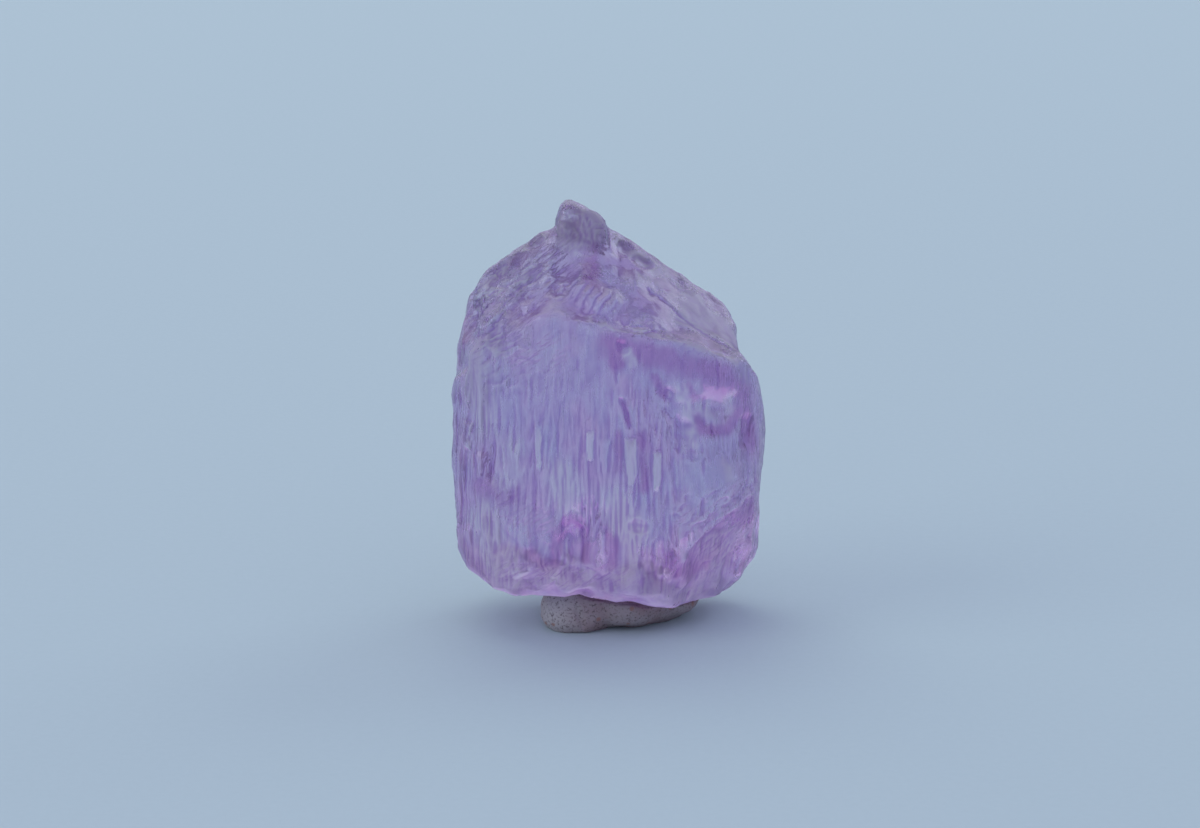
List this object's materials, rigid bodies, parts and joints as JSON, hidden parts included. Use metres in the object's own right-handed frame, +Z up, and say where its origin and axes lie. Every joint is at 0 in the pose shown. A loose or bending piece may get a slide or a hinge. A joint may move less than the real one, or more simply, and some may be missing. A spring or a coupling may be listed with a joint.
{
  "type": "kunzite crystal",
  "caption": "Rough lavender-pink kunzite crystal with a chisel-shaped top and a small horn, standing upright in a pressed lump of grey putty.",
  "frame": {"origin": "on the surface that the putty stands on, under the middle of the bounding box", "axes": "+Z up along the crystal's length; the broad striated face looks along -Y; +X to the right of that face"},
  "size_m": [0.0198, 0.0126, 0.0268],
  "materials": {
    "kunzite": "clear to milky lavender stone, worn and striated faces",
    "putty": "matte grey, finely speckled"
  },
  "bodies": {
    "root": {"kunzite_crystal": "kunzite", "putty_stand": "putty"}
  },
  "joints": []
}
